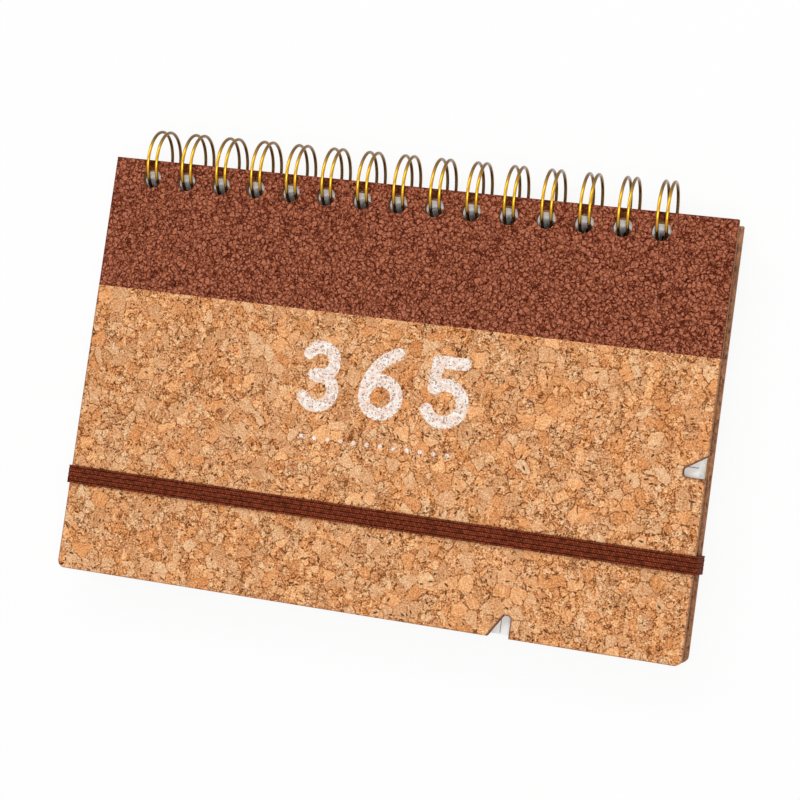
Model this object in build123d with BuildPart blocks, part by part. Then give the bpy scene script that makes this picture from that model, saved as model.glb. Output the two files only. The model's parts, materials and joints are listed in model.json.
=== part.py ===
from build123d import *
import os
from math import cos, degrees, floor, hypot, pi, radians, sin, sqrt

# A closed, wire bound desk calendar lying on its back.
# +X runs along the bound edge, +Y points at the binding wire and +Z out of the front cover.
# The origin is under the middle of the calendar, on the surface that it lies on.

# Covers
cover_width = 216.0
cover_height = 143.0
cover_corner_radius = 2.5
board_thickness = 2.1
cork_thickness = 0.55
lining_thickness = 0.15
lining_inset = 2.0
band_height = 45.0

# Thumb notches in the front cover, each with one straight and one slanted side
notch_mouth = 7.3
notch_depth = 7.3
notch_end_width = 2.6
notch_end_radius = 1.2
side_notch_drop = 83.5
bottom_notch_reach = 159.8
cut_overrun = 1.0

# Leaves, in sections that turn as one
section_names = ["year_leaves"]
section_names += [f"month_{number:02d}_leaves" for number in range(1, 13)]
section_names += ["notes_leaves"]
leaf_thickness = 0.18
leaves_per_section = 4
leaf_gap = 0.02
section_gap = 0.06
leaf_side_inset = 2.5
leaf_bottom_inset = 1.0
leaf_corner_radius = 2.0

# Binding wire: twin loops at a standard pitch, closed behind the back cover
loop_pitch = 12.7
first_hole_margin = 13.8
last_hole_margin = 24.0
cover_hole_margin = 6.3
leaf_hole_margin = 5.0
hole_clearance = 0.25
wire_diameter = 1.1
wire_spacing = 3.1
wire_standoff = 1.8
wire_bend_radius = 1.3
root_angle = 248.0
tip_gap = 0.9
gap_sample_step = 0.3

# Elastic strap and the anchors on its ends
strap_width = 6.0
strap_thickness = 0.9
strap_drop = 110.9
strap_gap = 0.1
strap_bend_share = 2.5
slot_inset = 14.0
slot_clearance = 0.15
anchor_length = 4.0
anchor_overhang = 1.2
anchor_thickness = 0.8
anchor_clearance = 0.05

# Thicknesses through the closed stack
cover_thickness = board_thickness + cork_thickness + lining_thickness
leaf_step = leaf_thickness + leaf_gap
section_thickness = leaves_per_section * leaf_step - leaf_gap
section_step = section_thickness + section_gap
block_thickness = len(section_names) * section_step + section_gap
half_stack = block_thickness / 2 + cover_thickness

# The wire's ring, which every cover and leaf turns about
wire_radius = wire_diameter / 2
ring_radius = half_stack + wire_standoff
ring_inner = ring_radius - wire_radius
ring_outer = ring_radius + wire_radius
seam_length = wire_bend_radius + wire_diameter + tip_gap + wire_spacing / 2
tip_angle = root_angle + degrees(seam_length / ring_radius) - 360


def drop_at(radius, height):
    """How far under the ring's axis a circle of this radius is, at a height off the axis."""
    return sqrt(radius**2 - height**2)


# Holes: placed where the ring crosses each layer, and large enough for both wires of a loop
cover_wire_high = drop_at(ring_inner, half_stack)
cover_wire_low = drop_at(ring_outer, block_thickness / 2)
cover_hole_drop = (cover_wire_high + cover_wire_low) / 2
leaf_hole_drop = (drop_at(ring_inner, block_thickness / 2) + ring_outer) / 2
hole_half_height = (cover_wire_low - cover_wire_high) / 2 + hole_clearance
hole_radius = hypot(hole_half_height, wire_spacing / 2 + wire_radius)
loop_count = floor((cover_width - first_hole_margin - last_hole_margin) / loop_pitch) + 1
hole_xs = [first_hole_margin - cover_width / 2 + index * loop_pitch for index in range(loop_count)]

# Places in the frame
axis_y = (cover_height + cover_hole_drop - cover_hole_margin - ring_outer) / 2
link_drop = -ring_radius * sin(radians(root_angle)) - wire_bend_radius * cos(radians(root_angle))
tip_drop = wire_spacing / 2 * cos(radians(tip_angle)) - ring_radius * sin(radians(tip_angle))
if tip_angle < -90:
    tip_drop = ring_radius
axis_z = max(link_drop, tip_drop) + wire_radius
top_edge = axis_y - cover_hole_drop + cover_hole_margin
bottom_edge = top_edge - cover_height
band_edge = top_edge - band_height
right_edge = cover_width / 2
cover_hole_y = axis_y - cover_hole_drop
leaf_hole_y = axis_y - leaf_hole_drop
leaf_top = leaf_hole_y + leaf_hole_margin
leaf_bottom = bottom_edge + leaf_bottom_inset
front_face = axis_z + half_stack
back_face = axis_z - half_stack
block_top = axis_z + block_thickness / 2
block_bottom = axis_z - block_thickness / 2
strap_y = top_edge - strap_drop
slot_x = right_edge - slot_inset


def sheet(low, high, side_inset=0):
    """A rectangle across the cover between two heights."""
    with Locations((0, (low + high) / 2)):
        Rectangle(cover_width - 2 * side_inset, high - low)


def round_bottom_corners(face, radius):
    fillet(face.vertices().group_by(Axis.Y)[0], radius)


def punch_holes(hole_y):
    with Locations(*[(x, hole_y) for x in hole_xs]):
        Circle(hole_radius, mode=Mode.SUBTRACT)


def cut_notch(corner, inward, along):
    """Cut one notch: corner is where its straight side meets the edge of the cover."""
    outline = [
        (-cut_overrun, 0),
        (notch_depth, 0),
        (notch_depth, notch_end_width),
        (0, notch_mouth),
        (-cut_overrun, notch_mouth),
    ]
    points = [corner + inward * depth + along * width for depth, width in outline]
    with BuildLine() as notch:
        FilletPolyline(*points, radius=[0, notch_end_radius, notch_end_radius, 0, 0], close=True)
    make_face(notch.edges(), mode=Mode.SUBTRACT)


def cut_notches():
    cut_notch(Vector(right_edge, top_edge - side_notch_drop), Vector(-1, 0), Vector(0, 1))
    cut_notch(Vector(bottom_notch_reach - right_edge, bottom_edge), Vector(0, 1), Vector(-1, 0))


def cut_slots():
    with Locations((-slot_x, strap_y), (slot_x, strap_y)):
        Rectangle(
            strap_thickness + 2 * slot_clearance, strap_width + 2 * slot_clearance, mode=Mode.SUBTRACT
        )


pieces = {}

# Front cover, from the outside in
with BuildPart() as front_cork_sheet:
    with BuildSketch(Plane.XY.offset(front_face - cork_thickness)) as face:
        sheet(bottom_edge, band_edge)
        round_bottom_corners(face, cover_corner_radius)
        cut_notches()
    extrude(amount=cork_thickness)
pieces["front_cork_sheet"] = front_cork_sheet

with BuildPart() as front_band_sheet:
    with BuildSketch(Plane.XY.offset(front_face - cork_thickness)):
        sheet(band_edge, top_edge)
        punch_holes(cover_hole_y)
        cut_notches()
    extrude(amount=cork_thickness)
pieces["front_band_sheet"] = front_band_sheet

with BuildPart() as front_board:
    with BuildSketch(Plane.XY.offset(block_top + lining_thickness)) as face:
        sheet(bottom_edge, top_edge)
        round_bottom_corners(face, cover_corner_radius)
        punch_holes(cover_hole_y)
        cut_notches()
    extrude(amount=board_thickness)
pieces["front_board"] = front_board

with BuildPart() as front_lining:
    with BuildSketch(Plane.XY.offset(block_top)):
        sheet(bottom_edge + lining_inset, top_edge - lining_inset, lining_inset)
        punch_holes(cover_hole_y)
        cut_notches()
    extrude(amount=lining_thickness)
pieces["front_lining"] = front_lining

# Leaf sections, from the front of the calendar to its back
for index, section_name in enumerate(section_names):
    section_bottom = block_top - (index + 1) * section_step
    leaf_planes = [Plane.XY.offset(section_bottom + leaf * leaf_step) for leaf in range(leaves_per_section)]
    with BuildPart() as leaves:
        with BuildSketch(*leaf_planes) as face:
            sheet(leaf_bottom, leaf_top, leaf_side_inset)
            round_bottom_corners(face, leaf_corner_radius)
            punch_holes(leaf_hole_y)
        extrude(amount=leaf_thickness)
    pieces[section_name] = leaves

# Back cover, from the inside out
with BuildPart() as back_lining:
    with BuildSketch(Plane.XY.offset(block_bottom - lining_thickness)):
        sheet(bottom_edge + lining_inset, top_edge - lining_inset, lining_inset)
        punch_holes(cover_hole_y)
    extrude(amount=lining_thickness)
pieces["back_lining"] = back_lining

back_board_top = block_bottom - lining_thickness
with BuildPart() as back_board:
    with BuildSketch(Plane.XY.offset(back_board_top)) as face:
        sheet(bottom_edge, top_edge)
        round_bottom_corners(face, cover_corner_radius)
        punch_holes(cover_hole_y)
        cut_slots()
    extrude(amount=-board_thickness)
    with BuildSketch(Plane.XY.offset(back_board_top)):
        with Locations((-slot_x, strap_y), (slot_x, strap_y)):
            Rectangle(
                anchor_length + 2 * slot_clearance,
                strap_width + 2 * anchor_overhang + 2 * slot_clearance,
            )
    extrude(amount=-anchor_thickness - anchor_clearance, mode=Mode.SUBTRACT)
pieces["back_board"] = back_board

with BuildPart() as back_cork_sheet:
    with BuildSketch(Plane.XY.offset(back_face)) as face:
        sheet(bottom_edge, band_edge)
        round_bottom_corners(face, cover_corner_radius)
        cut_slots()
    extrude(amount=cork_thickness)
pieces["back_cork_sheet"] = back_cork_sheet

with BuildPart() as back_band_sheet:
    with BuildSketch(Plane.XY.offset(back_face)):
        sheet(band_edge, top_edge)
        punch_holes(cover_hole_y)
        cut_slots()
    extrude(amount=cork_thickness)
pieces["back_band_sheet"] = back_band_sheet


# Binding wire: along each loop and back, round its tip, and across to the next loop
def ring_point(x, angle, forward=0):
    """A point on the ring, angle from +Y towards +Z, or that far ahead on its tangent."""
    turn = radians(angle)
    y = ring_radius * cos(turn) - forward * sin(turn)
    z = ring_radius * sin(turn) + forward * cos(turn)
    return Vector(x, axis_y + y, axis_z + z)


def leg(x, start_angle, end_angle):
    """One wire of a loop, in two arcs of just under a half turn."""
    middle = (start_angle + end_angle) / 2
    for first, last in ((start_angle, middle), (middle, end_angle)):
        ThreePointArc(ring_point(x, first), ring_point(x, (first + last) / 2), ring_point(x, last))


def root_link(x, next_x):
    """The bend out of one loop, the straight run and the bend into the next loop."""
    way_out = ring_point(0, root_angle, wire_bend_radius) - ring_point(0, root_angle)
    run_start = ring_point(x + wire_bend_radius, root_angle, wire_bend_radius)
    run_end = ring_point(next_x - wire_bend_radius, root_angle, wire_bend_radius)
    TangentArc(ring_point(x, root_angle), run_start, tangent=way_out)
    Line(run_start, run_end)
    TangentArc(run_end, ring_point(next_x, root_angle), tangent=Vector(1, 0, 0))


with BuildPart() as binding_wire:
    with BuildLine() as wire_path:
        for index, x in enumerate(hole_xs):
            first_x = x - wire_spacing / 2
            last_x = x + wire_spacing / 2
            leg(first_x, root_angle, tip_angle)
            ThreePointArc(
                ring_point(first_x, tip_angle),
                ring_point(x, tip_angle, -wire_spacing / 2),
                ring_point(last_x, tip_angle),
            )
            leg(last_x, tip_angle, root_angle)
            if index + 1 < loop_count:
                root_link(last_x, hole_xs[index + 1] - wire_spacing / 2)
    path_wire = wire_path.wires()[0]
    with BuildSketch(Plane(origin=path_wire @ 0, z_dir=path_wire % 0)):
        Circle(wire_radius)
    sweep(path=path_wire)
pieces["binding_wire"] = binding_wire

# Elastic strap: round the whole stack, with its ends up through the slots in the back cover
pocket_floor = back_board_top - anchor_thickness - anchor_clearance
strap_inner_radius = strap_bend_share * strap_gap
strap_inner_width = cover_width + 2 * strap_gap
strap_inner_height = 2 * (half_stack + strap_gap)
strap_back = back_face - strap_gap
strap_end_height = pocket_floor + anchor_thickness - strap_back + strap_thickness
with BuildPart() as elastic_strap:
    with BuildSketch(Plane.XZ.offset(-strap_y)):
        with Locations((0, axis_z)):
            RectangleRounded(
                strap_inner_width + 2 * strap_thickness,
                strap_inner_height + 2 * strap_thickness,
                strap_inner_radius + strap_thickness,
            )
            RectangleRounded(
                strap_inner_width, strap_inner_height, strap_inner_radius, mode=Mode.SUBTRACT
            )
        with Locations((0, strap_back)):
            Rectangle(2 * slot_x, 2 * (strap_thickness + strap_gap), mode=Mode.SUBTRACT)
        with Locations((-slot_x, strap_back - strap_thickness), (slot_x, strap_back - strap_thickness)):
            Rectangle(strap_thickness, strap_end_height, align=(Align.CENTER, Align.MIN))
    extrude(amount=strap_width / 2, both=True)
pieces["elastic_strap"] = elastic_strap

with BuildPart() as strap_anchors:
    with BuildSketch(Plane.XY.offset(pocket_floor)):
        with Locations((-slot_x, strap_y), (slot_x, strap_y)):
            Rectangle(anchor_length, strap_width + 2 * anchor_overhang)
            Rectangle(
                strap_thickness + 2 * anchor_clearance,
                strap_width + 2 * anchor_clearance,
                mode=Mode.SUBTRACT,
            )
    extrude(amount=anchor_thickness)
pieces["strap_anchors"] = strap_anchors

os.makedirs("parts", exist_ok=True)
for name, piece in pieces.items():
    piece.part.label = name
    export_step(piece.part, f"parts/{name}.step")


def least_wire_gap():
    """The least gap between stretches of two neighbouring loops that aren't next to each other."""
    span = min(path_wire.length, 2 * path_wire.length / loop_count)
    count = int(span / gap_sample_step)
    points = [path_wire.position_at(index * gap_sample_step, PositionMode.LENGTH) for index in range(count)]
    apart = int(2 * wire_spacing / gap_sample_step)
    gaps = [
        (points[first] - points[second]).length
        for first in range(count)
        for second in range(first + apart, count)
    ]
    return min(gaps) - wire_diameter


wire_fill = binding_wire.part.volume / (pi * wire_radius**2 * path_wire.length)
print(f"loops {loop_count}, ring radius {ring_radius:.2f}, hole radius {hole_radius:.2f}")
print(f"wire length {path_wire.length:.1f}, volume over section times length {wire_fill:.4f}")
print(f"least gap of the wire to itself {least_wire_gap():.2f}")
print(f"axis at y {axis_y:.3f}, z {axis_z:.3f}; top edge {top_edge:.3f}, bottom edge {bottom_edge:.3f}")
print(f"front face {front_face:.3f}, back face {back_face:.3f}, strap at y {strap_y:.3f}")
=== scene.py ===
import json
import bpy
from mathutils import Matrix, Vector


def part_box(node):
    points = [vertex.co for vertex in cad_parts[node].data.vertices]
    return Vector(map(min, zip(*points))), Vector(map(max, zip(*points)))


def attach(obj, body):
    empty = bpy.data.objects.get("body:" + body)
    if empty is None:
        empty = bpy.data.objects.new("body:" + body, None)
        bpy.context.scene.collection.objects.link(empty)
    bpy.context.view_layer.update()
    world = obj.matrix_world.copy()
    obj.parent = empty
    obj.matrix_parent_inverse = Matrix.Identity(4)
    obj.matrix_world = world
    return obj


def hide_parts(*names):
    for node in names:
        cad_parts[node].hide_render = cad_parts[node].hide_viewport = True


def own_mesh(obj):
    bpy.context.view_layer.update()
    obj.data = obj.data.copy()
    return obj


bl_info = {
    "name": "Wire-Bound Desk Calendar",
    "version": (1, 0, 0),
    "blender": (4, 5, 0),
    "location": "3D View > Sidebar > Calendar",
    "description": "Dresses the packed desk calendar with cork, paper, gold wire and woven elastic",
    "category": "Object",
}

from math import cos, hypot, pi, radians, sin

import bpy
from bpy.props import FloatProperty, FloatVectorProperty, IntProperty, PointerProperty
from mathutils import Vector

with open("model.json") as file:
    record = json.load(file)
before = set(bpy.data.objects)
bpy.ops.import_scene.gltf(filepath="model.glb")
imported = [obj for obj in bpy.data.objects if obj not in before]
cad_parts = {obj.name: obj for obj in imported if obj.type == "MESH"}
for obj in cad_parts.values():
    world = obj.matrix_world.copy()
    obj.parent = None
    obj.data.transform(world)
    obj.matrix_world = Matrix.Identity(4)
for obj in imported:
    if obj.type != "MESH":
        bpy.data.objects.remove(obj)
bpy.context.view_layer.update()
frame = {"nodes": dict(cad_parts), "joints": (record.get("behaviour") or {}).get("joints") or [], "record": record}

MM = 0.001

# Points closer than this are joined
WELD = 0.01 * MM

# How finely the round shapes are cut
HOLE_SIDES = 24
LEAF_CORNER_STEPS = 8
WIRE_SIDES = 14
LEG_STEPS = 84
BEND_STEPS = 8
STRAP_BEND_STEPS = 6
STRAP_POINTS = 138

# The camera's sensor, in millimetres, and each lamp's place, width and depth, in metres
SENSOR_WIDTH = 36
KEY_LIGHT = ((-0.3, 0.6, 0.85), 1.6, 0.35)
FILL_LIGHT = ((0.3, -0.2, 1.05), 0.5, 0.5)

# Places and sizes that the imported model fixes, in metres
board_low, board_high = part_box("front_board")
wire_low, wire_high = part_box("binding_wire")
strap_low, strap_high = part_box("elastic_strap")
anchor_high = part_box("strap_anchors")[1]
leaf_low, leaf_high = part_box("year_leaves")
hinge = Vector(frame["joints"][0]["pos_m"])
section_bodies = {
    node: body
    for body, nodes in frame["record"]["behaviour"]["bodies"].items()
    for node in nodes
    if node.endswith("_leaves")
}


def screen(red, green, blue):
    """The linear colour of a screen colour given from 0 to 255."""
    shares = (red / 255, green / 255, blue / 255)
    return tuple(s / 12.92 if s <= 0.04045 else ((s + 0.055) / 1.055) ** 2.4 for s in shares)


def number(label, description, default, **kind):
    return FloatProperty(name=label, description=description, default=default, **kind)


def count(label, description, default):
    return IntProperty(name=label, description=description, default=default)


def length(label, description, millimetres):
    return number(label, description, millimetres * MM, unit="LENGTH")


def bearing(label, description, degrees):
    return number(label, description, radians(degrees), subtype="ANGLE")


def numbers(label, description, default, **kind):
    return FloatVectorProperty(
        name=label, description=description, default=default, size=len(default), **kind
    )


def colour(label, description, red, green, blue):
    shade = screen(red, green, blue)
    return numbers(label, description, shade, subtype="COLOR", min=0, max=1)


class CalendarCovers(bpy.types.PropertyGroup):
    flake_size: length("Flake Size", "Width of the large cork flakes", 4.6)
    chip_size: length("Chip Size", "Width of the cork chips between the flakes", 2.1)
    grit_size: length("Grit Size", "Width of the finest cork grains", 1.0)
    cork_bark: colour("Bark", "Dark bark specks in the cork", 69, 38, 19)
    cork_deep: colour("Deep Cork", "Cracks and the darkest grains", 116, 69, 36)
    cork_brown: colour("Brown Cork", "Dark grains", 178, 114, 62)
    cork_tan: colour("Tan Cork", "Most of the cork", 219, 155, 101)
    cork_pale: colour("Pale Cork", "Light grains", 246, 187, 132)
    cork_cream: colour("Cream Cork", "Lightest grains", 255, 228, 182)
    cork_warm: colour("Warm Tint", "Tint of the orange flakes", 255, 240, 226)
    cork_dull: colour("Dull Tint", "Tint of the greyish flakes", 244, 246, 255)
    granule_size: length("Granule Size", "Width of the granules of the upper band", 1.6)
    # The band's colours are lit and shaded copies of one dyed cork: painted shade in the crevices and on the
    # granules' sides, the lit tone on their tops, painted highlights on the palest.
    band_deep_shade: colour("Band Crevices", "Gaps between the band's granules", 60, 17, 9)
    band_dark: colour("Band Shade", "Sides of the band's granules", 108, 48, 29)
    band_light: colour("Band Granules", "Tops of the band's granules", 155, 85, 59)
    band_pale: colour("Band Highlights", "Palest granules of the band", 195, 122, 92)
    rim_width: length("Rim Width", "Width of the darkened rim round each cover", 0.5)
    side_notch: length("Side Notch", "Height of the right notch's straight side", -17.925)
    bottom_notch: length("Bottom Notch", "Where the lower notch's straight side is", 51.8)
    notch_depth: length("Notch Depth", "How far both notches reach into the front cover", 7.3)
    notch_mouth: length("Notch Mouth", "Width of both notches at the edge", 7.3)
    notch_rim: length("Notch Rim", "Width of the darkened rim round both notches", 0.7)
    notch_colour: colour("Notch Edge", "Cut edge of the cork round the notches", 104, 62, 50)
    # This colour makes the cork darker along each cover's cut edge, fading inward over the rim's width.
    rim_colour: colour("Rim", "Cut edge of the cork, darkened by handling", 145, 95, 69)
    board_colour: colour("Board", "Composition board inside the covers", 169, 118, 84)
    # Painted shadow: the board is darkened along a line this far in from its edge, standing in for the contact
    # shadow beside the leaf block's edge.
    contact_shadow_inset: length("Groove Inset", "From the board's edge to the scored line beside it", 1.2)
    lining_colour: colour("Lining", "Paper inside the covers", 233, 226, 210)


class CalendarPrint(bpy.types.PropertyGroup):
    centre: numbers(
        "Centre",
        "Middle of the printed number on the front cover",
        (-2 * MM, -1.2 * MM),
        subtype="XYZ",
        unit="LENGTH",
    )
    digit_step: length("Digit Step", "From one digit of the number to the next", 22.5)
    stroke: length("Stroke", "Width of the number's strokes", 4.2)
    dot_count: count("Dots", "Dots under the number, one for each month", 12)
    dot_step: length("Dot Step", "From one dot to the next", 4.6)
    dot_drop: length("Dot Drop", "From the number's middle down to the dots", 20.5)
    dot_size: length("Dot Size", "Width of each dot", 1.5)
    foil: colour("Foil", "White hot-stamped foil", 255, 250, 242)
    foil_shade: colour("Foil Shade", "Rosy tint of the foil where it is thin", 244, 214, 196)
    foil_wear: colour("Foil Wear", "Dark cork that shows through the worn foil", 143, 81, 60)


class CalendarLeaves(bpy.types.PropertyGroup):
    leaf_count: count("Leaves", "Leaves in each section", 4)
    leaf_thickness: length("Leaf Thickness", "Thickness of one leaf", 0.18)
    leaf_step: length("Leaf Step", "From one leaf to the next", 0.20)
    corner_radius: length("Corner Radius", "Rounding of the two lower corners", 2.0)
    hole_radius: length("Hole Radius", "Radius of the binding holes", 3.27)
    hole_margin: length("Hole Margin", "From the top edge to the middle of the holes", 5.0)
    slip: length("Slip", "How far a leaf may lie out of line with its neighbours", 0.12)
    paper: colour("Paper", "Leaf paper", 252, 251, 248)
    rule: colour("Ruling", "Printed lines of the day boxes", 112, 108, 106)
    mark: colour("Month Dots", "Row of dots that counts the month", 150, 78, 54)


class CalendarWire(bpy.types.PropertyGroup):
    pitch: length("Pitch", "From one twin loop to the next", 12.7)
    spacing: length("Spacing", "Between the two wires of a loop", 3.1)
    diameter: length("Diameter", "Thickness of the wire", 1.1)
    bend_radius: length("Bend Radius", "Bend between a loop and the run to the next", 1.3)
    tip_gap: length("Tip Gap", "From a loop's closed tip to the run that it meets", 0.9)
    root_angle: bearing("Root Angle", "Where the loops start, from the bound edge's outward side", 248)
    # Painted light: round this angle the loops are coloured bright gold as a painted highlight, and away from it
    # browner as a painted darker reflection.
    highlight_angle: bearing("Rubbed Angle", "Middle of the part of each loop that is rubbed bright", 92)
    gold: colour("Gold", "Bright part of the wire", 212, 163, 44)
    shaded_gold: colour("Lacquer", "Browner part of the wire", 128, 94, 48)


class CalendarStrap(bpy.types.PropertyGroup):
    thickness: length("Thickness", "Thickness of the elastic", 0.9)
    anchor_length: length("Anchor Length", "Length of the metal bar on each end", 4.0)
    ribs: count("Ribs", "Ribs across the elastic, with half a rib at each edge", 4)
    rib_depth: number("Rib Depth", "Depth of valleys, as a share of thickness", 0.26, subtype="FACTOR")
    bend_radius: length("Bend Radius", "Rounding where the strap turns an edge", 0.75)
    stitch: length("Stitch", "Length of one thread float along a rib", 0.8)
    keep: number("Slack Height", "Share of height that the slack strap keeps", 0.175, subtype="FACTOR")
    thread: colour("Thread", "Face of the ribs", 132, 61, 37)
    # Painted shade: the colour of the valleys between the ribs.
    valley_shade: colour("Valleys", "Dark lines between the ribs", 46, 11, 4)


class CalendarStage(bpy.types.PropertyGroup):
    camera_place: numbers(
        "Camera Place",
        "Where the camera stands",
        (181.32 * MM, -23.66 * MM, 643.88 * MM),
        subtype="TRANSLATION",
        unit="LENGTH",
    )
    camera_turn: numbers(
        "Camera Turn",
        "How the camera is turned",
        (radians(5.265), radians(14.528), radians(8.146)),
        subtype="EULER",
    )
    camera_lens: number("Lens", "Focal length", 88.33, unit="CAMERA")
    camera_shift: numbers("Shift", "Shift of the frame", (-0.0379, -0.0629), subtype="XYZ")
    floor_size: number("Floor Size", "Side of the floor", 6.0, unit="LENGTH")
    floor_colour: colour("Floor", "Plain pale floor", 250, 250, 249)
    sky_strength: number("Sky", "Even light from all round", 0.46, subtype="FACTOR")
    key_power: number("Key Light", "Wide soft light behind the bound edge", 4.4, unit="POWER")
    fill_power: number("Fill Light", "Soft light from the other side", 4.25, unit="POWER")


class Socket:
    """A node's output that Python's operators work on; each operator adds one Math node."""

    def __init__(self, graph, socket):
        self.graph = graph
        self.socket = socket

    def sibling(self, name):
        """Another output of the same node."""
        return Socket(self.graph, named(self.socket.node.outputs, name))

    def math(self, operation, *others):
        return self.graph.math(operation, self, *others)

    def __add__(self, other):
        return self.math("ADD", other)

    __radd__ = __add__

    def __sub__(self, other):
        return self.math("SUBTRACT", other)

    def __rsub__(self, other):
        return self.graph.math("SUBTRACT", other, self)

    def __mul__(self, other):
        return self.math("MULTIPLY", other)

    __rmul__ = __mul__

    def __truediv__(self, other):
        return self.math("DIVIDE", other)

    def __pow__(self, other):
        return self.math("POWER", other)

    def __gt__(self, other):
        return self.math("GREATER_THAN", other)

    def __lt__(self, other):
        return self.math("LESS_THAN", other)

    def __abs__(self):
        return self.math("ABSOLUTE")

    def ramp(self, low, high):
        """0 up to low and 1 from high on, with a smooth step between them."""
        return self.graph.add(
            "ShaderNodeMapRange",
            {"Value": self, "From Min": low, "From Max": high},
            interpolation_type="SMOOTHSTEP",
        )


def named(sockets, name):
    """The socket with this identifier, or else the first in use under this name."""
    for socket in sockets:
        if socket.identifier == name:
            return socket
    for socket in sockets:
        if socket.name == name and socket.enabled:
            return socket
    raise RuntimeError(f"no socket is called {name}")


class Graph:
    """Adds nodes to one shader or geometry tree."""

    def __init__(self, tree):
        self.tree = tree

    def add(self, kind, inputs=None, output=None, **settings):
        """Make a node from its type, its sockets' values or links, and its settings."""
        node = self.tree.nodes.new(kind)
        for name, value in settings.items():
            setattr(node, name, value)
        for name, value in (inputs or {}).items():
            socket = named(node.inputs, name)
            for item in value if isinstance(value, list) else [value]:
                if isinstance(item, Socket):
                    self.tree.links.new(item.socket, socket)
                elif socket.type == "RGBA" and len(item) == 3:
                    socket.default_value = (*item, 1)
                else:
                    socket.default_value = item
        if not node.outputs:
            return None
        if output is None:
            return Socket(self, next(socket for socket in node.outputs if socket.enabled))
        return Socket(self, named(node.outputs, output))

    def math(self, operation, *values):
        sockets = ("Value", "Value_001", "Value_002")
        return self.add("ShaderNodeMath", dict(zip(sockets, values)), operation=operation)

    def vector(self, operation, first, second=(0, 0, 0), scale=1.0):
        inputs = {"Vector": first, "Vector_001": second, "Scale": scale}
        return self.add("ShaderNodeVectorMath", inputs, operation=operation)

    def mix(self, factor, first, second):
        """Mix two colours."""
        inputs = {"Factor_Float": factor, "A_Color": first, "B_Color": second}
        return self.add("ShaderNodeMix", inputs, "Result_Color", data_type="RGBA")

    def noise(self, place, size, detail=2.0, roughness=0.5, output="Fac"):
        """Noise with features about as wide as size."""
        inputs = {"Vector": place, "Scale": 1 / size, "Detail": detail, "Roughness": roughness}
        return self.add("ShaderNodeTexNoise", inputs, output)

    def cells(self, place, size, feature="F1", output=None):
        """Irregular cells about as wide as size."""
        inputs = {"Vector": place, "Scale": 1 / size}
        return self.add("ShaderNodeTexVoronoi", inputs, output, feature=feature)

    def parts(self, vector):
        """The three numbers of a vector or colour."""
        x = self.add("ShaderNodeSeparateXYZ", {"Vector": vector}, "X")
        return x, x.sibling("Y"), x.sibling("Z")

    def joined(self, x=0.0, y=0.0, z=0.0):
        return self.add("ShaderNodeCombineXYZ", {"X": x, "Y": y, "Z": z})

    def attribute(self, name):
        """A number that a piece's mesh carries."""
        return self.add("ShaderNodeAttribute", output="Fac", attribute_name=name)

    def store(self, geometry, name, value):
        """Keep a number on each point, for a material to read."""
        inputs = {"Geometry": geometry, "Name": name, "Value": value}
        return self.add("GeometryNodeStoreNamedAttribute", inputs, data_type="FLOAT", domain="POINT")

    def circle(self, sides, radius):
        return self.add("GeometryNodeCurvePrimitiveCircle", {"Resolution": sides, "Radius": radius})

    def rectangle(self, width, height):
        return self.add("GeometryNodeCurvePrimitiveQuadrilateral", {"Width": width, "Height": height})

    def fillet(self, curve, steps, radius):
        """Round a curve's corners."""
        inputs = {"Curve": curve, "Count": steps, "Radius": radius}
        return self.add("GeometryNodeFilletCurve", inputs, mode="POLY")

    def row(self, amount, offset, start=(0, 0, 0)):
        """Points in a straight row."""
        inputs = {"Count": amount, "Start Location": start, "Offset": offset}
        return self.add("GeometryNodeMeshLine", inputs, mode="OFFSET")

    def copies(self, points, instance):
        """A real copy of a shape on each point."""
        placed = self.add("GeometryNodeInstanceOnPoints", {"Points": points, "Instance": instance})
        return self.add("GeometryNodeRealizeInstances", {"Geometry": placed})

    def weld(self, geometry):
        return self.add("GeometryNodeMergeByDistance", {"Geometry": geometry, "Distance": WELD})

    def swept(self, route, section):
        """A smooth solid with this section along a route."""
        inputs = {"Curve": route, "Profile Curve": section, "Fill Caps": True}
        solid = self.add("GeometryNodeCurveToMesh", inputs)
        return self.add("GeometryNodeSetShadeSmooth", {"Geometry": solid, "Shade Smooth": True})


def empty_graph(owner):
    """The graph of a new material or world, without its default nodes."""
    owner.use_nodes = True
    owner.node_tree.nodes.clear()
    return Graph(owner.node_tree)


class Finish:
    """A new material: its graph, its place in millimetres and its surface shader."""

    def __init__(self, name, fixed):
        self.material = bpy.data.materials.new(name)
        self.graph = empty_graph(self.material)
        self.fixed = fixed
        inside = self.graph.add("ShaderNodeTexCoord", output="Object")
        self.place = self.graph.vector("SCALE", inside, scale=1 / MM)

    def noise(self, *measures):
        """Noise at the place itself."""
        return self.graph.noise(self.place, *measures)

    def close(self, shade, height, depth, **varying):
        """Add the surface shader, with relief of this depth in millimetres, and give the material."""
        normal = self.graph.add("ShaderNodeBump", {"Height": height, "Distance": depth * MM})
        inputs = {**self.fixed, "Base Color": shade, "Normal": normal, **varying}
        shader = self.graph.add("ShaderNodeBsdfPrincipled", inputs)
        self.graph.add("ShaderNodeOutputMaterial", {"Surface": shader})
        return self.material


def first_loop(wire):
    """Where the first loop's middle is."""
    return wire_low.x + (wire.spacing + wire.diameter) / 2


def loop_count(wire):
    return round((wire_high.x - wire_low.x - wire.spacing - wire.diameter) / wire.pitch) + 1


def tone_ramp(graph, tone, *shades):
    """Colour by tone from 0 to 1, through evenly spaced shades."""
    toned = graph.add("ShaderNodeValToRGB", {"Fac": tone})
    stops = toned.socket.node.color_ramp.elements
    while len(stops) < len(shades):
        stops.new(1)
    for index, shade in enumerate(shades):
        stops[index].position = index / (len(shades) - 1)
        stops[index].color = (*shade, 1)
    return toned


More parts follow.
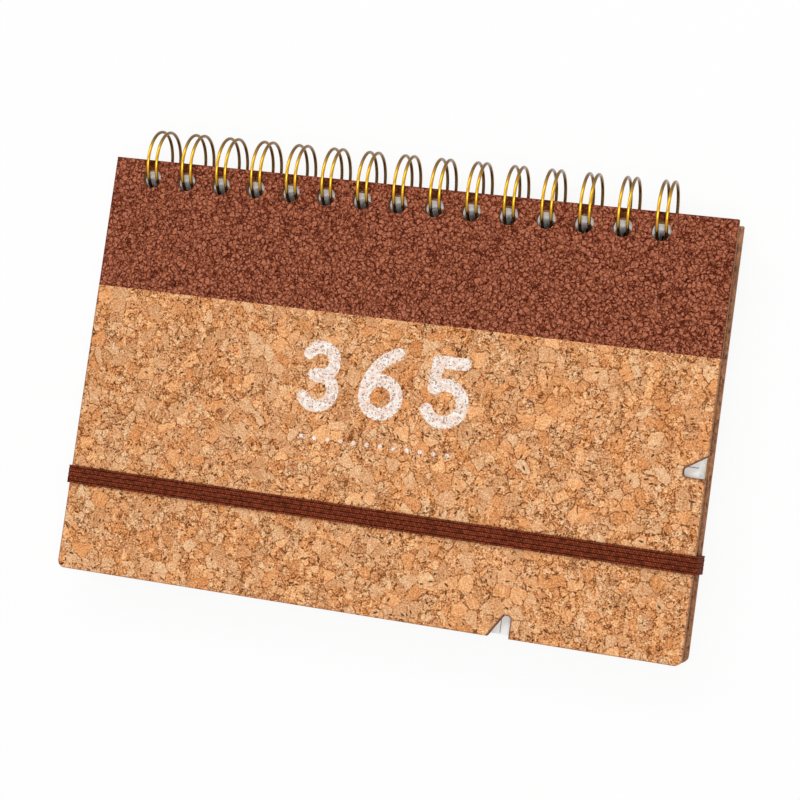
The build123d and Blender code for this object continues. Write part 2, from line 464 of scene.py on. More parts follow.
def along_row(value, first, step, amount):
    """Offset from the nearest mark of an even row, and 1 within the row."""
    turns = (value - first) / step + 0.5
    return (turns.math("FRACT") - 0.5) * step, (turns > 0.0) * (turns < amount)


def nearest(distances):
    """The least of several distances."""
    least = distances[0]
    for distance in distances[1:]:
        least = least.math("MINIMUM", distance)
    return least


def cover_rim(finish, covers):
    """1 at the cut edge of a cover, fading to 0 over the rim's width."""
    x, y, _ = finish.graph.parts(finish.place)
    inward = nearest([board_high.x / MM - abs(x), y - board_low.y / MM, board_high.y / MM - y])
    return 1 - inward.ramp(0.0, covers.rim_width / MM)


def cork_grain(finish, covers):
    """Colour and height of pressed cork: flakes, slivers, chips and grit, with cracks and bark."""
    graph = finish.graph
    wander = finish.noise(2.2, 3.0, 0.6, "Color")
    place = graph.vector("ADD", finish.place, graph.vector("SCALE", wander, scale=1.7))

    def layer(where, size):
        """Three random numbers for each cell, and the distance to its edge."""
        size /= MM
        pick, turn, keep = graph.parts(graph.cells(where, size, output="Color"))
        return pick, turn, keep, graph.cells(where, size, "DISTANCE_TO_EDGE") * size

    leaning = graph.add(
        "ShaderNodeMapping",
        {"Vector": place, "Rotation": (0.0, 0.0, 0.5), "Scale": (1.0, 0.42, 1.0)},
    )
    flake_pick, flake_turn, flake_keep, flake_edge = layer(place, covers.flake_size)
    chip_pick, chip_turn, chip_keep, chip_edge = layer(place, covers.chip_size)
    sliver_pick, _, sliver_keep, sliver_edge = layer(leaning, covers.chip_size)
    grit_pick, _, _, grit_edge = layer(place, covers.grit_size)
    is_flake = (flake_keep > 0.66) * flake_edge.ramp(0.1, 0.3)
    is_sliver = (sliver_keep > 0.72) * sliver_edge.ramp(0.1, 0.25) * (1 - is_flake)
    is_chip = (chip_keep > 0.3) * chip_edge.ramp(0.05, 0.2) * (1 - is_flake) * (1 - is_sliver)
    loose = 1 - is_flake - is_sliver - is_chip * 0.8

    # Growth lines run along each flake and chip, turned at random
    turn = flake_turn * is_flake + chip_turn * (1 - is_flake)
    turned = graph.add(
        "ShaderNodeVectorRotate",
        {"Vector": finish.place, "Angle": turn * (2 * pi)},
        rotation_type="Z_AXIS",
    )
    lines = graph.noise(graph.vector("MULTIPLY", turned, (0.3, 2.0, 1.0)), 1.2, 2.0, 0.6)
    fine = finish.noise(0.55, 1.0, 0.7)

    # Cracks and scars follow some of the edges, and bark specks lie along the growth lines
    crack = (1 - flake_edge.ramp(0.05, 0.3)) * finish.noise(3.0, 2.0).ramp(0.46, 0.58)
    open_chips = finish.noise(1.6, 2.0).ramp(0.44, 0.58)
    chip_gap = (1 - chip_edge.ramp(0.02, 0.26)) * (1 - is_flake) * open_chips
    open_grit = finish.noise(1.3, 1.0).ramp(0.4, 0.6)
    grit_gap = (1 - grit_edge.ramp(0.02, 0.22)) * loose * open_grit
    gaps = crack.math("MAXIMUM", chip_gap).math("MAXIMUM", grit_gap * 0.6)
    specks = graph.cells(graph.vector("MULTIPLY", turned, (0.4, 1.0, 1.0)), 1.7)
    bark = (1 - specks.ramp(0.16, 0.26)) * (graph.parts(specks.sibling("Color"))[0] > 0.55)
    scar = (1 - sliver_edge.ramp(0.1, 0.28)) * finish.noise(2.2, 1.0).ramp(0.67, 0.72)
    bark = bark.math("MAXIMUM", scar * 0.85)

    middle_tone = 0.62
    tone = middle_tone + (flake_pick - 0.5) * 0.3 * is_flake + (chip_pick - 0.5) * 0.36 * is_chip
    tone = tone + (sliver_pick - 0.5) * 0.42 * is_sliver + (grit_pick - 0.5) * 0.45 * loose
    tone = tone + (lines - 0.5) * 0.7 + (fine - 0.5) * (1.3 + loose) - gaps * 0.42
    darks = (covers.cork_deep, covers.cork_brown, covers.cork_tan)
    shade = tone_ramp(graph, tone, *darks, covers.cork_pale, covers.cork_cream)
    warm = (flake_turn * 0.6 + turn * 0.4).ramp(0.1, 0.9)
    shade = graph.vector("MULTIPLY", shade, graph.mix(warm, covers.cork_dull, covers.cork_warm))
    shade = graph.mix(bark * 0.9, shade, covers.cork_bark)
    shade = graph.mix(cover_rim(finish, covers) * 0.75, shade, covers.rim_colour)
    level = flake_turn * is_flake + chip_turn * is_chip
    height = tone * 0.4 + level * 0.3 + (1 - gaps) * 0.3
    return shade, height


def notch_rim(finish, covers):
    """1 at the cut edges of the front cover's two notches, fading to 0 over their rim's width."""
    x, y, _ = finish.graph.parts(finish.place)
    depth, mouth = covers.notch_depth / MM, covers.notch_mouth / MM
    end_radius, end_width, slant_top = 1.2, 0.75, (depth - 0.56, 2.95)
    deep = depth - end_radius
    cuts = []
    for inward, along in (
        (board_high.x / MM - x, y - covers.side_notch / MM),
        (y - board_low.y / MM, covers.bottom_notch / MM - x),
    ):
        end = bar_distance(inward, along, (deep, end_radius), (deep, end_radius + end_width))
        cuts.append(end - end_radius)
        cuts.append(bar_distance(inward, along, (0.0, 0.0), (deep, 0.0)))
        cuts.append(bar_distance(inward, along, (0.0, mouth), slant_top))
    return 1 - nearest(cuts).ramp(0.0, covers.notch_rim / MM)


def arc_distance(x, y, centre, radius, middle, half):
    """Distance to an arc that reaches half to each side of the direction middle, in degrees."""
    along, across = cos(radians(middle)), sin(radians(middle))
    reach, side = cos(radians(half)), sin(radians(half))
    x, y = x - centre[0], y - centre[1]
    ahead = x * along + y * across
    aside = abs(y * along - x * across)
    on_arc = abs((ahead * ahead + aside * aside) ** 0.5 - radius)
    end_ahead, end_aside = ahead - radius * reach, aside - radius * side
    to_end = (end_ahead * end_ahead + end_aside * end_aside) ** 0.5
    beyond = (aside * reach - ahead * side) > 0.0
    return on_arc + (to_end - on_arc) * beyond


def bar_distance(x, y, start, end):
    """Distance to a straight stroke."""
    run = hypot(end[0] - start[0], end[1] - start[1])
    along, across = (end[0] - start[0]) / run, (end[1] - start[1]) / run
    x, y = x - start[0], y - start[1]
    ahead = (x * along + y * across).math("MAXIMUM", 0.0).math("MINIMUM", run)
    x, y = x - ahead * along, y - ahead * across
    return (x * x + y * y) ** 0.5


def number_distance(x, y, step):
    """Distance to the round strokes of the number of days in a year."""
    left, right = x + step, x - step
    return nearest([
        arc_distance(left, y, (0.4, 5.0), 4.9, 20, 130),
        arc_distance(left, y, (0.4, -4.6), 5.3, -20, 130),
        arc_distance(x, y, (0.0, -4.3), 5.6, 0, 180),
        arc_distance(x, y, (10.4, -4.3), 16.0, 146, 34),
        bar_distance(right, y, (-4.2, 9.9), (4.8, 9.9)),
        bar_distance(right, y, (-4.2, 9.9), (-4.8, 1.2)),
        arc_distance(right, y, (-0.6, -3.7), 6.2, -14, 142),
    ])


def make_natural_cork(covers):
    finish = Finish("natural_cork", {"Roughness": 0.8, "Specular IOR Level": 0.1})
    shade, height = cork_grain(finish, covers)
    return finish.close(shade, height, 0.2)


def make_printed_cork(covers, stamp):
    """Cork with the number and the dots stamped on it in foil."""
    finish = Finish("printed_cork", {"Specular IOR Level": 0.1})
    graph = finish.graph
    shade, height = cork_grain(finish, covers)
    shade = graph.mix(notch_rim(finish, covers), shade, covers.notch_colour)
    x, y, _ = graph.parts(finish.place)
    x, y = x - stamp.centre[0] / MM, y - stamp.centre[1] / MM
    ragged = (finish.noise(0.7, 2.0) - 0.5) * 0.6
    strokes = number_distance(x, y, stamp.digit_step / MM) + ragged
    half, soft = stamp.stroke / MM / 2, 0.1
    stroke = 1 - strokes.ramp(half - soft, half + soft)

    step, amount = stamp.dot_step / MM, float(stamp.dot_count)
    off, in_row = along_row(x, step * (1 - amount) / 2, step, amount)
    drop = y + stamp.dot_drop / MM
    dot = (off * off + drop * drop) ** 0.5 + ragged * 0.4
    radius, soft = stamp.dot_size / MM / 2, 0.08
    dots = (1 - dot.ramp(radius - soft, radius + soft)) * in_row

    worn = finish.noise(0.7, 2.0, 0.7).ramp(0.53, 0.6) * 0.8
    stamped = stroke.math("MAXIMUM", dots)
    foil = stamped * (1 - worn)
    glint = finish.noise(1.4, 2.0)
    foil_colour = graph.mix(glint.ramp(0.35, 0.6), stamp.foil_shade, stamp.foil)
    shade = graph.mix(stamped * worn, shade, stamp.foil_wear)
    shade = graph.mix(foil, shade, foil_colour)
    height = height * (1 - stamped * 0.6)
    return finish.close(shade, height, 0.2, Roughness=0.78 - foil * 0.4)


def make_red_cork(covers, wire):
    """Fine granulated cork, dyed, with painted shade on the granules' sides and in their crevices, and a painted
    shadow of the wire under each loop.
    """
    finish = Finish("red_cork", {"Roughness": 0.8, "Specular IOR Level": 0.06})
    graph = finish.graph
    size = covers.granule_size / MM
    wander = finish.noise(1.5, 3.0, 0.6, "Color")
    place = graph.vector("ADD", finish.place, graph.vector("SCALE", wander, scale=2.2))
    edge = graph.cells(place, size, "DISTANCE_TO_EDGE") * size
    pick, rare, _ = graph.parts(graph.cells(place, size, output="Color"))
    fine = finish.noise(0.6, 1.0, 0.7)
    broad = finish.noise(5.0, 2.0)
    patchy = finish.noise(1.5, 1.0).ramp(0.3, 0.6)
    folds = finish.noise(1.3, 1.0)
    # Painted shade: each granule is lighter on its domed top and darker towards its edge, and the worm lines are
    # painted shadow in the folds.
    dome = edge.ramp(0.0, 0.32)
    fold_shadow = (1 - abs(folds - 0.5).ramp(0.0, 0.06)) * 0.3
    tone = 0.86 - (1 - dome) * (0.2 + patchy * 0.45) - fold_shadow + (pick - 0.5) * 0.14
    tone = tone + (fine - 0.5) * 1.4 + (broad - 0.5) * 0.15 - (rare > 0.95) * 0.2
    darks = (covers.band_deep_shade, covers.band_dark)
    shade = tone_ramp(graph, tone, *darks, covers.band_light, covers.band_pale)
    x, y, _ = graph.parts(finish.place)
    # Painted shadow of the wire: the band is darkened under each loop near the top edge, where the loops would
    # cast their shade.
    off, in_row = along_row(x, first_loop(wire) / MM, wire.pitch / MM, float(loop_count(wire)))
    shadow_core, shadow_edge, shadow_start, shadow_full = 0.8, 2.8, -5.5, -3.0
    near_top = (y - board_high.y / MM).ramp(shadow_start, shadow_full)
    painted_wire_shadow = (1 - abs(off).ramp(shadow_core, shadow_edge)) * near_top * in_row
    shade = graph.mix(painted_wire_shadow * 0.65, shade, covers.band_deep_shade)
    shade = graph.mix(cover_rim(finish, covers) * 0.6, shade, covers.band_dark)
    return finish.close(shade, dome * 0.7 + fine * 0.3, 0.3)


def make_cover_board(covers):
    """Brown composition board with specks of bark, seen at the covers' edges."""
    finish = Finish("cover_board", {"Roughness": 0.85, "Specular IOR Level": 0.2})
    graph = finish.graph
    x, y, _ = graph.parts(finish.place)
    grains = graph.vector("MULTIPLY", finish.place, (1.4, 0.7, 1.4))
    pick = graph.parts(graph.cells(grains, 1.2, output="Color"))[0]
    fine = finish.noise(0.6, 3.0, 0.7)
    layers = graph.noise(graph.vector("MULTIPLY", finish.place, (0.2, 0.2, 3.0)), 1.0, 2.0)
    specks = graph.cells(graph.vector("MULTIPLY", finish.place, (1.6, 0.7, 1.6)), 1.6)
    bark = (1 - specks.ramp(0.2, 0.4)) * (graph.parts(specks.sibling("Color"))[0] > 0.55)
    # Painted contact shadow: a dark line just inside the side and bottom edges, beside the leaf block's edge.
    inward = nearest([board_high.x / MM - abs(x), y - board_low.y / MM])
    contact_shadow = 1 - abs(inward - covers.contact_shadow_inset / MM).ramp(0.1, 0.35)
    light = 0.9 + (pick - 0.5) * 0.55 + (fine - 0.5) * 1.6 + (layers - 0.5) * 0.5 - contact_shadow * 0.3
    shade = graph.vector("SCALE", covers.board_colour, scale=light)
    shade = graph.mix(bark * 0.7, shade, covers.cork_bark)
    return finish.close(shade, fine, 0.1)


def make_lining_paper(covers):
    finish = Finish("lining_paper", {"Roughness": 0.7, "Specular IOR Level": 0.3})
    graph = finish.graph
    fibres = graph.noise(graph.vector("MULTIPLY", finish.place, (1.0, 4.0, 1.0)), 1.2, 4.0, 0.65)
    cloud = finish.noise(14.0, 2.0)
    light = 0.94 + fibres * 0.08 + cloud * 0.04
    return finish.close(graph.vector("SCALE", covers.lining_colour, scale=light), fibres, 0.03)


def make_leaf_paper(leaves):
    """Off-white paper with ruled day boxes and a row of dots that counts the month."""
    finish = Finish("leaf_paper", {"Roughness": 0.65, "Specular IOR Level": 0.3})
    graph = finish.graph
    x, y, _ = graph.parts(finish.place)

    # Places and sizes of the print, in millimetres
    left, bottom, top, cut_margin = -91.8, -54.6, 45.5, 0.35
    box_width, column_lines, box_height, row_lines = 28.0, 7.0, 20.0, 6.0
    dot_height, dot_step, dot_core, dot_edge = 50.5, 4.0, 0.9, 1.1
    line_core, line_edge = 0.1, 0.22

    def ruled(value, start, step, amount):
        off, in_row = along_row(value, start, step, amount)
        return (1 - abs(off).ramp(line_core, line_edge)) * in_row

    columns = ruled(x, left, box_width, column_lines) * (y < top)
    lines = columns.math("MAXIMUM", ruled(y, bottom, box_height, row_lines))
    inset = nearest([leaf_high.x / MM - abs(x), y - leaf_low.y / MM])
    lines = lines * (inset > cut_margin)
    off, in_row = along_row(x, left + dot_step / 2, dot_step, graph.attribute("month"))
    drop = y - dot_height
    dots = (1 - ((off * off + drop * drop) ** 0.5).ramp(dot_core, dot_edge)) * in_row
    fibres = graph.noise(graph.vector("MULTIPLY", finish.place, (1.0, 3.0, 1.0)), 0.9, 4.0, 0.6)
    shade = graph.vector("SCALE", leaves.paper, scale=0.98 + fibres * 0.03)
    shade = graph.mix(lines * 0.8, shade, leaves.rule)
    shade = graph.mix(dots, shade, leaves.mark)
    return finish.close(shade, fibres, 0.02)


def make_gold_wire(wire):
    """Gold wire, coloured brighter at the front of the loops as a painted highlight and browner towards their
    backs as a painted darker reflection.
    """
    finish = Finish("gold_wire", {"Metallic": 1.0})
    graph = finish.graph
    drawn = finish.noise(1.6, 3.0, 0.6)
    _, y, z = graph.parts(finish.place)
    angle = (z - hinge.z / MM).math("ARCTAN2", y - hinge.y / MM)
    # Painted highlight near this angle round the hinge, fading into the painted darker reflection of the shaded
    # gold.
    painted_highlight = 1 - abs(angle - wire.highlight_angle).ramp(0.3, 0.8)
    shade = graph.mix(painted_highlight * (0.75 + drawn * 0.4), wire.shaded_gold, wire.gold)
    return finish.close(shade, drawn, 0.01, Roughness=0.1 + drawn * 0.12)


def make_elastic_webbing(strap):
    """Woven elastic: each rib is two rows of short thread floats, with the valleys between them painted in dark
    shade.
    """
    finish = Finish("elastic_webbing", {"Roughness": 0.8, "Specular IOR Level": 0.04})
    graph = finish.graph
    along = graph.attribute("along") / strap.stitch
    across = graph.attribute("across") * float(strap.ribs)
    ridge = abs((across * pi).math("COSINE"))
    strand = abs((across * (2 * pi)).math("SINE"))
    row = (across * 2.0).math("FLOOR")
    step = along + row * 0.5
    weave = abs((step * pi).math("SINE"))
    thread = {"Vector": graph.joined(step.math("FLOOR"), row)}
    pick = graph.add("ShaderNodeTexWhiteNoise", thread, "Value", noise_dimensions="2D")
    fuzz = finish.noise(0.3, 2.0)
    top = ridge.ramp(0.1, 0.5) * (0.4 + strand.ramp(0.0, 0.7) * 0.6) * (0.3 + weave * 0.7)
    shade = graph.mix(top, strap.valley_shade, strap.thread)
    shade = graph.vector("SCALE", shade, scale=0.4 + fuzz * 0.4 + pick * 0.9)
    return finish.close(shade, ridge * 0.5 + weave * 0.5, 0.18)


def make_anchor_steel():
    finish = Finish("anchor_steel", {"Metallic": 1.0})
    graph = finish.graph
    brushed = graph.noise(graph.vector("MULTIPLY", finish.place, (0.3, 6.0, 1.0)), 0.8, 2.0)
    return finish.close(screen(190, 190, 188), brushed, 0.01, Roughness=0.3 + brushed * 0.2)


def paint(node, material):
    """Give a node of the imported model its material."""
    materials = frame["nodes"][node].data.materials
    materials.clear()
    materials.append(material)


def add_object(name, data):
    """A new object in the scene."""
    item = bpy.data.objects.new(name, data)
    bpy.context.scene.collection.objects.link(item)
    return item


def start_tree(name, floats, integers=()):
    """A geometry tree with these inputs and a material, as its graph and its input sockets."""
    tree = bpy.data.node_groups.new(name, "GeometryNodeTree")
    tree.interface.new_socket("Geometry", in_out="OUTPUT", socket_type="NodeSocketGeometry")
    kinds = {"Geometry": ["Geometry"], "Float": floats, "Int": integers, "Material": ["Material"]}
    for kind, labels in kinds.items():
        for label in labels:
            tree.interface.new_socket(label, in_out="INPUT", socket_type=f"NodeSocket{kind}")
    graph = Graph(tree)
    first = graph.add("NodeGroupInput")
    given = {socket.name: Socket(graph, socket) for socket in first.socket.node.outputs}
    return graph, given


def end_tree(graph, given, geometry):
    """Finish a tree with Realize Instances and Set Material, and give its graph."""
    real = graph.add("GeometryNodeRealizeInstances", {"Geometry": geometry})
    inputs = {"Geometry": real, "Material": given["Material"]}
    dressed = graph.add("GeometryNodeSetMaterial", inputs)
    graph.add("NodeGroupOutput", {"Geometry": dressed})
    return graph


def grow(name, body, source, graph, values):
    """Run a tree on a source mesh, and set the plain mesh that it makes on a body."""
    maker = add_object(f"{name}_source", source)
    modifier = maker.modifiers.new("Tree", "NODES")
    modifier.node_group = graph.tree
    for item in graph.tree.interface.items_tree:
        if item.in_out == "INPUT" and item.name in values:
            modifier[item.identifier] = values[item.name]
    depsgraph = bpy.context.evaluated_depsgraph_get()
    mesh = bpy.data.meshes.new_from_object(maker.evaluated_get(depsgraph))
    bpy.data.objects.remove(maker)
    if not mesh.polygons:
        raise RuntimeError(f"the tree for {name} made no faces")
    mesh.name = name
    piece = add_object(name, mesh)
    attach(piece, body)
    return piece


def line_mesh(name, points):
    mesh = bpy.data.meshes.new(name)
    mesh.from_pydata(points, [(index, index + 1) for index in range(len(points) - 1)], [])
    return mesh


def leaf_tree():
    """A section: thin leaves with rounded lower corners and holes, stacked a little out of line."""
    floats = ["Width", "Bottom", "Top", "Corner Radius", "First Hole", "Pitch", "Hole Height"]
    floats += ["Hole Radius", "Lowest", "Thickness", "Step", "Slip", "Month"]
    graph, given = start_tree("Leaf Section", floats, ["Holes", "Leaves", "Seed"])
    middle = graph.joined(y=(given["Top"] + given["Bottom"]) / 2)
    blank = graph.rectangle(given["Width"], given["Top"] - given["Bottom"])
    at_bottom = graph.parts(graph.add("GeometryNodeInputPosition"))[1] < 0.0
    blank = graph.fillet(blank, LEAF_CORNER_STEPS, at_bottom * given["Corner Radius"])
    blank = graph.add("GeometryNodeTransform", {"Geometry": blank, "Translation": middle})
    first_hole = graph.joined(given["First Hole"], given["Hole Height"])
    hole_row = graph.row(given["Holes"], graph.joined(given["Pitch"]), first_hole)
    holes = graph.copies(hole_row, graph.circle(HOLE_SIDES, given["Hole Radius"]))
    outline = graph.add("GeometryNodeJoinGeometry", {"Geometry": [blank, holes]})
    face = graph.add("GeometryNodeFillCurve", {"Curve": outline})
    raised = graph.add(
        "GeometryNodeExtrudeMesh",
        {"Mesh": face, "Offset Scale": given["Thickness"], "Individual": False},
    )
    under = graph.add("GeometryNodeFlipFaces", {"Mesh": face})
    leaf = graph.weld(graph.add("GeometryNodeJoinGeometry", {"Geometry": [raised, under]}))
    lowest, step = graph.joined(z=given["Lowest"]), graph.joined(z=given["Step"])
    pile = graph.row(given["Leaves"], step, lowest)
    away = graph.add(
        "FunctionNodeRandomValue",
        {"Min": (-1, -1, 0), "Max": (1, 1, 0), "Seed": given["Seed"]},
        data_type="FLOAT_VECTOR",
    )
    away = graph.vector("SCALE", away, scale=given["Slip"])
    pile = graph.add("GeometryNodeSetPosition", {"Geometry": pile, "Offset": away})
    stack = graph.store(graph.copies(pile, leaf), "month", given["Month"])
    return end_tree(graph, given, stack)


def wire_tree():
    """One continuous wire: a loop's route repeated along the row, welded end to end and thickened."""
    graph, given = start_tree("Twin Loop Wire", ["Pitch", "Wire Radius", "Row End"], ["Loops"])
    row = graph.row(given["Loops"], graph.joined(given["Pitch"]))
    loops = graph.copies(row, given["Geometry"])
    past_end = graph.parts(graph.add("GeometryNodeInputPosition"))[0] > given["Row End"]
    loops = graph.add(
        "GeometryNodeDeleteGeometry", {"Geometry": loops, "Selection": past_end}, domain="POINT"
    )
    route = graph.add("GeometryNodeMeshToCurve", {"Mesh": graph.weld(loops)})
    tube = graph.swept(route, graph.circle(WIRE_SIDES, given["Wire Radius"]))
    return end_tree(graph, given, tube)


def strap_tree():
    """Ribbed elastic along a route, with its own measure along and across for the weave."""
    floats = ["Width", "Thickness", "Rib Depth", "Ribs", "Bend Radius"]
    graph, given = start_tree("Ribbed Strap", floats)
    route = graph.add("GeometryNodeMeshToCurve", {"Mesh": given["Geometry"]})
    route = graph.fillet(route, STRAP_BEND_STEPS, given["Bend Radius"])
    facing = {"Curve": route, "Normal": (0, 1, 0)}
    route = graph.add("GeometryNodeSetCurveNormal", facing, mode="FREE")
    reach = graph.add("GeometryNodeSplineParameter", output="Length")
    route = graph.store(route, "along", reach)
    section = graph.rectangle(given["Width"], given["Thickness"])
    section = graph.add("GeometryNodeResampleCurve", {"Curve": section, "Count": STRAP_POINTS})
    x, y, _ = graph.parts(graph.add("GeometryNodeInputPosition"))
    across = x / given["Width"] + 0.5
    roundness = 0.6
    ridge = abs((across * given["Ribs"] * pi).math("COSINE")) ** roundness
    height = y * (1 - given["Rib Depth"] * (1 - ridge))
    section = graph.add(
        "GeometryNodeSetPosition", {"Geometry": section, "Position": graph.joined(x, height)}
    )
    section = graph.store(section, "across", across)
    return end_tree(graph, given, graph.swept(route, section))


class CALENDAR_OT_covers(bpy.types.Operator):
    """Give the two covers their cork, board and lining"""

    bl_idname = "calendar.covers"
    bl_label = "Dress Covers"

    def execute(self, context):
        covers = context.scene.calendar_covers
        paint("front_cork_sheet", make_printed_cork(covers, context.scene.calendar_print))
        paint("back_cork_sheet", make_natural_cork(covers))
        red_cork = make_red_cork(covers, context.scene.calendar_wire)
        board = make_cover_board(covers)
        lining = make_lining_paper(covers)
        for side in ("front", "back"):
            paint(f"{side}_band_sheet", red_cork)
            paint(f"{side}_board", board)
            paint(f"{side}_lining", lining)
        return {"FINISHED"}


class CALENDAR_OT_leaves(bpy.types.Operator):
    """Stack the leaves of the year, month and notes sections"""

    bl_idname = "calendar.leaves"
    bl_label = "Stack Leaves"

    def execute(self, context):
        leaves, wire = context.scene.calendar_leaves, context.scene.calendar_wire
        graph = leaf_tree()
        paper = make_leaf_paper(leaves)
        for node, body in section_bodies.items():
            low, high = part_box(node)
            month = float(node.split("_")[1]) if node.startswith("month") else 0.0
            values = {
                "Width": high.x - low.x,
                "Bottom": low.y,
                "Top": high.y,
                "Corner Radius": leaves.corner_radius,
                "Holes": loop_count(wire),
                "First Hole": first_loop(wire),
                "Pitch": wire.pitch,
                "Hole Height": high.y - leaves.hole_margin,
                "Hole Radius": leaves.hole_radius,
                "Lowest": low.z,
                "Thickness": leaves.leaf_thickness,
                "Step": leaves.leaf_step,
                "Leaves": leaves.leaf_count,
                "Slip": leaves.slip,
                "Seed": round(low.z / MM * 100),
                "Month": month,
                "Material": paper,
            }
            source = bpy.data.meshes.new(node)
            piece = grow(f"{node}_stack", body, source, graph, values)
            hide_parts(node)
        return {"FINISHED"}


def loop_route(wire):
    """The first loop's route: up one side, round the tip, down the other and across to the next."""
    radius = wire_high.y - hinge.y - wire.diameter / 2
    half, bend, root = wire.spacing / 2, wire.bend_radius, wire.root_angle
    seam = bend + wire.diameter + wire.tip_gap + half
    tip_angle = root + seam / radius - 2 * pi

    def spot(x, angle, forward=0.0):
        y = radius * cos(angle) - forward * sin(angle)
        z = radius * sin(angle) + forward * cos(angle)
        return (first_loop(wire) + x, hinge.y + y, hinge.z + z)

    def leg(x, start, end):
        return [spot(x, start + (end - start) * step / LEG_STEPS) for step in range(LEG_STEPS + 1)]

    turns = [pi / 2 * step / BEND_STEPS for step in range(BEND_STEPS + 1)]
    tip = [spot(-half * cos(2 * t), tip_angle, -half * sin(2 * t)) for t in turns[1:-1]]
    way_out = [spot(half + bend * (1 - cos(t)), root, bend * sin(t)) for t in turns[1:]]
    next_x = wire.pitch - half
    way_in = [spot(next_x - bend * (1 - cos(t)), root, bend * sin(t)) for t in reversed(turns)]
    up, down = leg(-half, root, tip_angle), leg(half, tip_angle, root)
    return up + tip + down + way_out + way_in


class CALENDAR_OT_binding_wire(bpy.types.Operator):
    """Wind the continuous twin loop wire through the holes"""

    bl_idname = "calendar.binding_wire"
    bl_label = "Wind Binding Wire"

    def execute(self, context):
        wire = context.scene.calendar_wire
        values = {
            "Loops": loop_count(wire),
            "Pitch": wire.pitch,
            "Wire Radius": wire.diameter / 2,
            "Row End": wire_high.x - wire.diameter / 2 + WELD,
            "Material": make_gold_wire(wire),
        }
        route = line_mesh("loop_route", loop_route(wire))
        piece = grow("wound_wire", "back_cover", route, wire_tree(), values)
        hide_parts("binding_wire")
        return {"FINISHED"}


class CALENDAR_OT_elastic_strap(bpy.types.Operator):
    """Weave the elastic strap round the closed calendar"""

    bl_idname = "calendar.elastic_strap"
    bl_label = "Weave Elastic Strap"

    def execute(self, context):
        strap = context.scene.calendar_strap
        thickness = strap.thickness
        y = (strap_low.y + strap_high.y) / 2
        slot = anchor_high.x - strap.anchor_length / 2
        side = strap_high.x - thickness / 2
        top, bottom = strap_high.z - thickness / 2, strap_low.z + thickness / 2
        half = [(slot, anchor_high.z), (slot, bottom), (side, bottom), (side, top)]
        points = [(-x, y, z) for x, z in half] + [(x, y, z) for x, z in reversed(half)]
        values = {
            "Width": strap_high.y - strap_low.y,
            "Thickness": thickness,
            "Ribs": float(strap.ribs),
            "Rib Depth": strap.rib_depth,
            "Bend Radius": strap.bend_radius,
            "Material": make_elastic_webbing(strap),
        }
        route = line_mesh("strap_route", points)
        piece = grow("woven_strap", "back_cover", route, strap_tree(), values)
        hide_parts("elastic_strap")
        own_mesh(piece)
        paint("strap_anchors", make_anchor_steel())
        return {"FINISHED"}


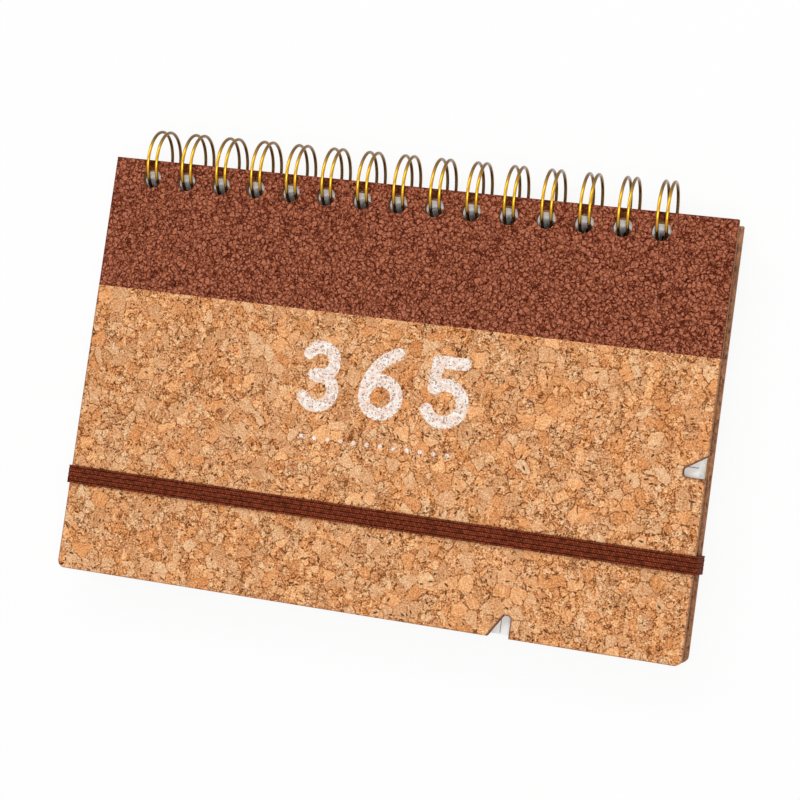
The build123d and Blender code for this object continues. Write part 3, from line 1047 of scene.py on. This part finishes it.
class CALENDAR_OT_stage(bpy.types.Operator):
    """Set the floor, the light and the camera"""

    bl_idname = "calendar.stage"
    bl_label = "Set Stage"

    def execute(self, context):
        stage = context.scene.calendar_stage
        self.lay_floor(stage)
        context.scene.world = self.light(stage)
        context.scene.camera = self.place_camera(stage)
        context.scene.view_settings.view_transform = "Standard"
        return {"FINISHED"}

    def lay_floor(self, stage):
        half = stage.floor_size / 2
        mesh = bpy.data.meshes.new("floor")
        corners = [(-half, -half, 0), (half, -half, 0), (half, half, 0), (-half, half, 0)]
        mesh.from_pydata(corners, [], [(0, 1, 2, 3)])
        floor = add_object("floor", mesh)
        material = bpy.data.materials.new("pale_floor")
        graph = empty_graph(material)
        matt = graph.add("ShaderNodeBsdfDiffuse", {"Color": stage.floor_colour})
        white = graph.add("ShaderNodeEmission", {"Color": (1, 1, 1), "Strength": 1.0})
        x, y, _ = graph.parts(graph.add("ShaderNodeTexCoord", output="Object"))
        margin = 2 * MM
        between = (y > board_low.y + margin) * (y < board_high.y - margin)
        covered = (abs(x) < board_high.x - margin) * between
        near, far, near_white = 0.25, 0.8, 0.88
        away = ((x * x + y * y) ** 0.5).ramp(near, far)
        white_share = near_white + away * (1 - near_white)
        seen = self.seen_directly(graph) * (1 - covered) * white_share
        surface = graph.add("ShaderNodeMixShader", {"Fac": seen, "Shader": matt, "Shader_001": white})
        graph.add("ShaderNodeOutputMaterial", {"Surface": surface})
        mesh.materials.append(material)

    @staticmethod
    def seen_directly(graph):
        """1 for rays from the camera, or from it by way of metal or glass."""
        camera = graph.add("ShaderNodeLightPath", output="Is Camera Ray")
        glossy, through = camera.sibling("Is Glossy Ray"), camera.sibling("Is Transmission Ray")
        return camera.math("MAXIMUM", glossy).math("MAXIMUM", through)

    def light(self, stage):
        """Hang the two lamps, and give the world that lights the rest."""
        world = bpy.data.worlds.new("studio")
        graph = empty_graph(world)
        seen = self.seen_directly(graph)
        strength = stage.sky_strength + seen * (1 - stage.sky_strength)
        sky = graph.add("ShaderNodeBackground", {"Color": (1, 1, 1), "Strength": strength})
        graph.add("ShaderNodeOutputWorld", {"Surface": sky})
        for name, (place, width, depth), power in (
            ("key_light", KEY_LIGHT, stage.key_power),
            ("fill_light", FILL_LIGHT, stage.fill_power),
        ):
            lamp = bpy.data.lights.new(name, "AREA")
            lamp.energy = power
            lamp.shape = "RECTANGLE"
            lamp.size, lamp.size_y = width, depth
            holder = add_object(name, lamp)
            holder.location = place
            holder.rotation_euler = (-Vector(place)).to_track_quat("-Z", "Y").to_euler()
        return world

    def place_camera(self, stage):
        data = bpy.data.cameras.new("camera")
        data.sensor_width = SENSOR_WIDTH
        data.lens = stage.camera_lens
        data.shift_x, data.shift_y = stage.camera_shift
        camera = add_object("camera", data)
        camera.location = stage.camera_place
        camera.rotation_euler = stage.camera_turn
        return camera


class CALENDAR_PT_panel(bpy.types.Panel):
    bl_idname = "CALENDAR_PT_panel"
    bl_label = "Desk Calendar"
    bl_space_type = "VIEW_3D"
    bl_region_type = "UI"
    bl_category = "Calendar"

    def draw(self, context):
        for group, _, operator in PIECES:
            box = self.layout.box()
            settings = getattr(context.scene, group)
            for name in settings.bl_rna.properties.keys():
                if name not in ("rna_type", "name"):
                    box.prop(settings, name)
            if operator:
                box.operator(operator.bl_idname)


# Each group of settings, and the operator that it is shown with
PIECES = [
    ("calendar_covers", CalendarCovers, CALENDAR_OT_covers),
    ("calendar_print", CalendarPrint, None),
    ("calendar_leaves", CalendarLeaves, CALENDAR_OT_leaves),
    ("calendar_wire", CalendarWire, CALENDAR_OT_binding_wire),
    ("calendar_strap", CalendarStrap, CALENDAR_OT_elastic_strap),
    ("calendar_stage", CalendarStage, CALENDAR_OT_stage),
]
GROUPS = {name: group for name, group, _ in PIECES}
OPERATORS = [operator for _, _, operator in PIECES if operator]
CLASSES = [*GROUPS.values(), *OPERATORS, CALENDAR_PT_panel]


def register():
    for item in CLASSES:
        bpy.utils.register_class(item)
    for name, group in GROUPS.items():
        setattr(bpy.types.Scene, name, PointerProperty(type=group))


def unregister():
    for name in GROUPS:
        delattr(bpy.types.Scene, name)
    for item in reversed(CLASSES):
        bpy.utils.unregister_class(item)


def main():
    register()
    bpy.ops.calendar.covers()
    bpy.ops.calendar.leaves()
    bpy.ops.calendar.binding_wire()
    bpy.ops.calendar.elastic_strap()
    bpy.ops.calendar.stage()


if __name__ == "__main__":
    main()
